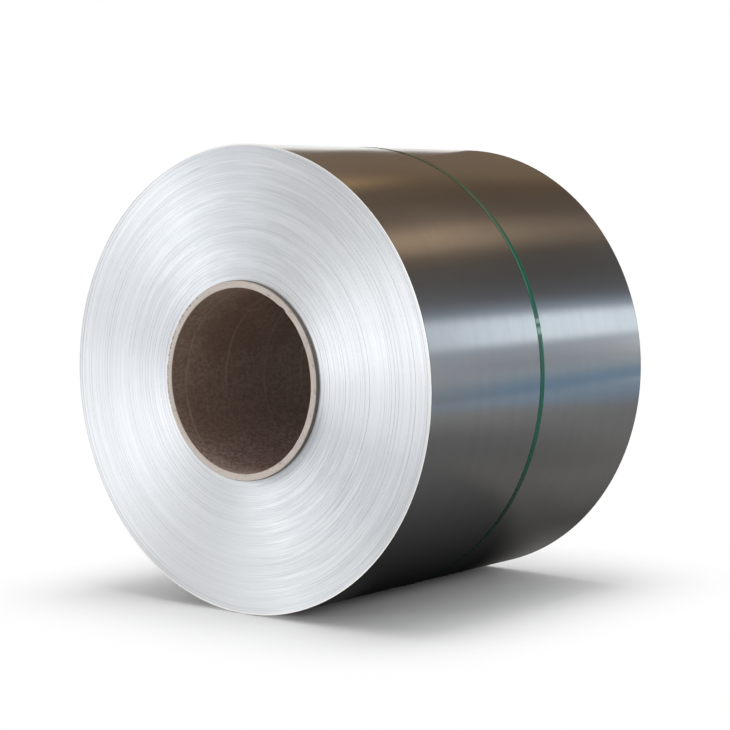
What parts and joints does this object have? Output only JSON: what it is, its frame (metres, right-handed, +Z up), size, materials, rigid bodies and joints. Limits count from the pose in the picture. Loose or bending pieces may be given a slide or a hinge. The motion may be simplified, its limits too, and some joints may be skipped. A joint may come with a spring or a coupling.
{
  "type": "nickel alloy coil",
  "caption": "Coil of cold-rolled nickel alloy strip wound on a paper core, held by a plastic strap round its girth, lying on its side.",
  "frame": {"origin": "on the floor under the middle of the coil: the bottom centre of its bounding box", "axes": "+Z up, +Y along the coil's axis away from the front end, +X towards the side with the plain stretch of the strap"},
  "size_m": [1.2857, 1.048, 1.2857],
  "materials": {
    "strip": "satin cold-rolled strip, with the cut edges of its turns as fine bright rings on the ends",
    "core_paper": "spiral-wound kraft paper tube, raw paper at its cut ends",
    "strap": "glossy green extruded strap"
  },
  "bodies": {
    "root": {"wound_strip": "strip", "paper_core": "core_paper", "girth_strap": "strap"}
  },
  "joints": []
}
